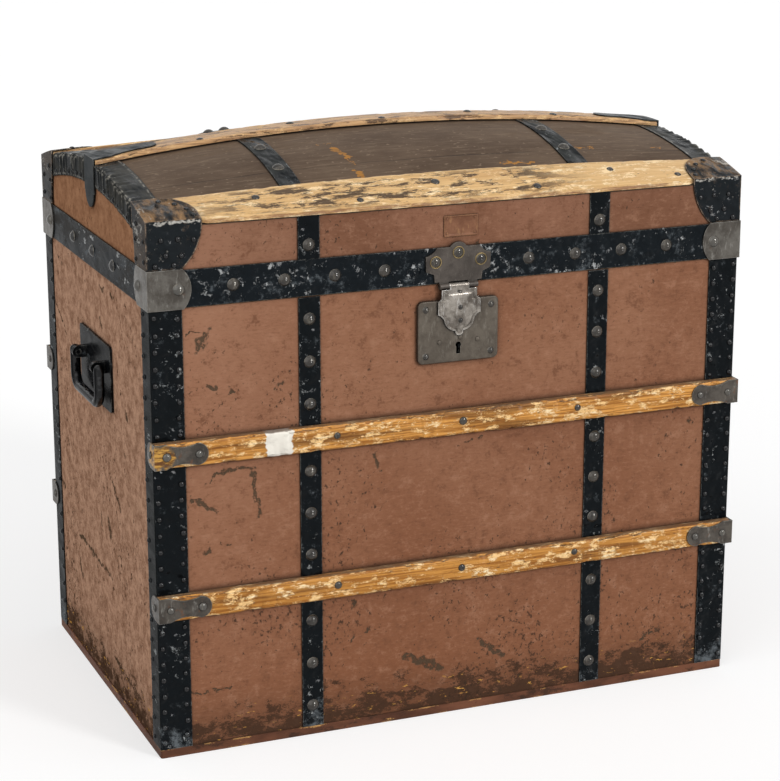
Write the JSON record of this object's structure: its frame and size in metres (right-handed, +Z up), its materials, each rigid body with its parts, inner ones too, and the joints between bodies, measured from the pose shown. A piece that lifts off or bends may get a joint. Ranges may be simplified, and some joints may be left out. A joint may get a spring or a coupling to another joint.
{
  "type": "dome top trunk",
  "caption": "Dome top travelling trunk: canvas-covered box with hinged domed lid, wooden slats, iron straps, corner caps, hasp lock and drop handles.",
  "frame": {"origin": "middle of the underside of the base board, on the floor", "axes": "+X across the front to the right, +Y from the front to the back, +Z up"},
  "size_m": [0.756, 0.469, 0.6737],
  "materials": {
    "brown_canvas": "painted canvas, scuffed",
    "dark_canvas": "oiled canvas, weathered",
    "pine_board": "bare, aged",
    "base_wood": "brown paint, chipped",
    "slat_oak": "old varnish, worn",
    "black_iron": "black lacquer, scratched",
    "worn_steel": "dull, tarnished",
    "cap_leather": "black, cracked and rubbed"
  },
  "bodies": {
    "chest": {"base_board": "base_wood", "front_board": "pine_board", "back_board": "pine_board", "left_end_board": "pine_board", "right_end_board": "pine_board", "body_canvas": "brown_canvas", "corner_binding_front_left": "black_iron", "corner_binding_front_right": "black_iron", "corner_binding_back_left": "black_iron", "corner_binding_back_right": "black_iron", "front_strap_left": "black_iron", "front_strap_right": "black_iron", "back_strap_left": "black_iron", "back_strap_right": "black_iron", "front_slat_lower": "slat_oak", "front_slat_upper": "slat_oak", "back_slat_lower": "slat_oak", "back_slat_upper": "slat_oak", "front_slat_clamps": "worn_steel", "back_slat_clamps": "worn_steel", "body_rivets": "black_iron", "lock_plate": "worn_steel", "lock_case": "worn_steel", "handle_plate_left": "black_iron", "handle_plate_right": "black_iron", "hinge_body_leaves": "worn_steel", "hinge_pins": "worn_steel"},
    "lid": {"lid_front_board": "pine_board", "lid_back_board": "pine_board", "lid_left_end_board": "pine_board", "lid_right_end_board": "pine_board", "lid_dome_panel": "pine_board", "lid_side_canvas": "brown_canvas", "lid_top_canvas": "dark_canvas", "lid_strap_left": "black_iron", "lid_strap_right": "black_iron", "lid_slat_front": "slat_oak", "lid_slat_back": "slat_oak", "lid_slat_crown": "slat_oak", "end_edging_left": "black_iron", "end_edging_right": "black_iron", "corner_cap_front_left": "cap_leather", "corner_cap_front_right": "cap_leather", "corner_cap_back_left": "cap_leather", "corner_cap_back_right": "cap_leather", "crown_clamps": "black_iron", "lid_band_front": "black_iron", "lid_band_back": "black_iron", "lid_band_left": "black_iron", "lid_band_right": "black_iron", "band_clips": "worn_steel", "lid_rivets": "black_iron", "hasp_plate": "worn_steel", "hasp_pin": "worn_steel", "hinge_lid_leaves": "worn_steel"},
    "hasp": {"hasp_tongue": "worn_steel", "hasp_staple": "worn_steel"},
    "handle_left": {"handle_bail_left": "black_iron"},
    "handle_right": {"handle_bail_right": "black_iron"},
    "bolt": {"lock_bolt": "worn_steel"}
  },
  "joints": [
    {"name": "lid_hinge", "type": "hinge", "parent": "chest", "child": "lid", "pos_m": [0, 0.2281, 0.53], "axis": [-1, 0, 0], "range_deg": [0, 100]},
    {"name": "hasp_hinge", "type": "hinge", "parent": "lid", "child": "hasp", "pos_m": [0, -0.2257, 0.516], "axis": [-1, 0, 0], "range_deg": [0, 130]},
    {"name": "handle_left_swing", "type": "hinge", "parent": "chest", "child": "handle_left", "pos_m": [-0.371, 0, 0.4115], "axis": [0, 1, 0], "range_deg": [0, 165]},
    {"name": "handle_right_swing", "type": "hinge", "parent": "chest", "child": "handle_right", "pos_m": [0.371, 0, 0.4115], "axis": [0, -1, 0], "range_deg": [0, 165]},
    {"name": "lock_bolt_slide", "type": "slide", "parent": "chest", "child": "bolt", "axis": [1, 0, 0], "range_m": [0, 0.008]}
  ]
}
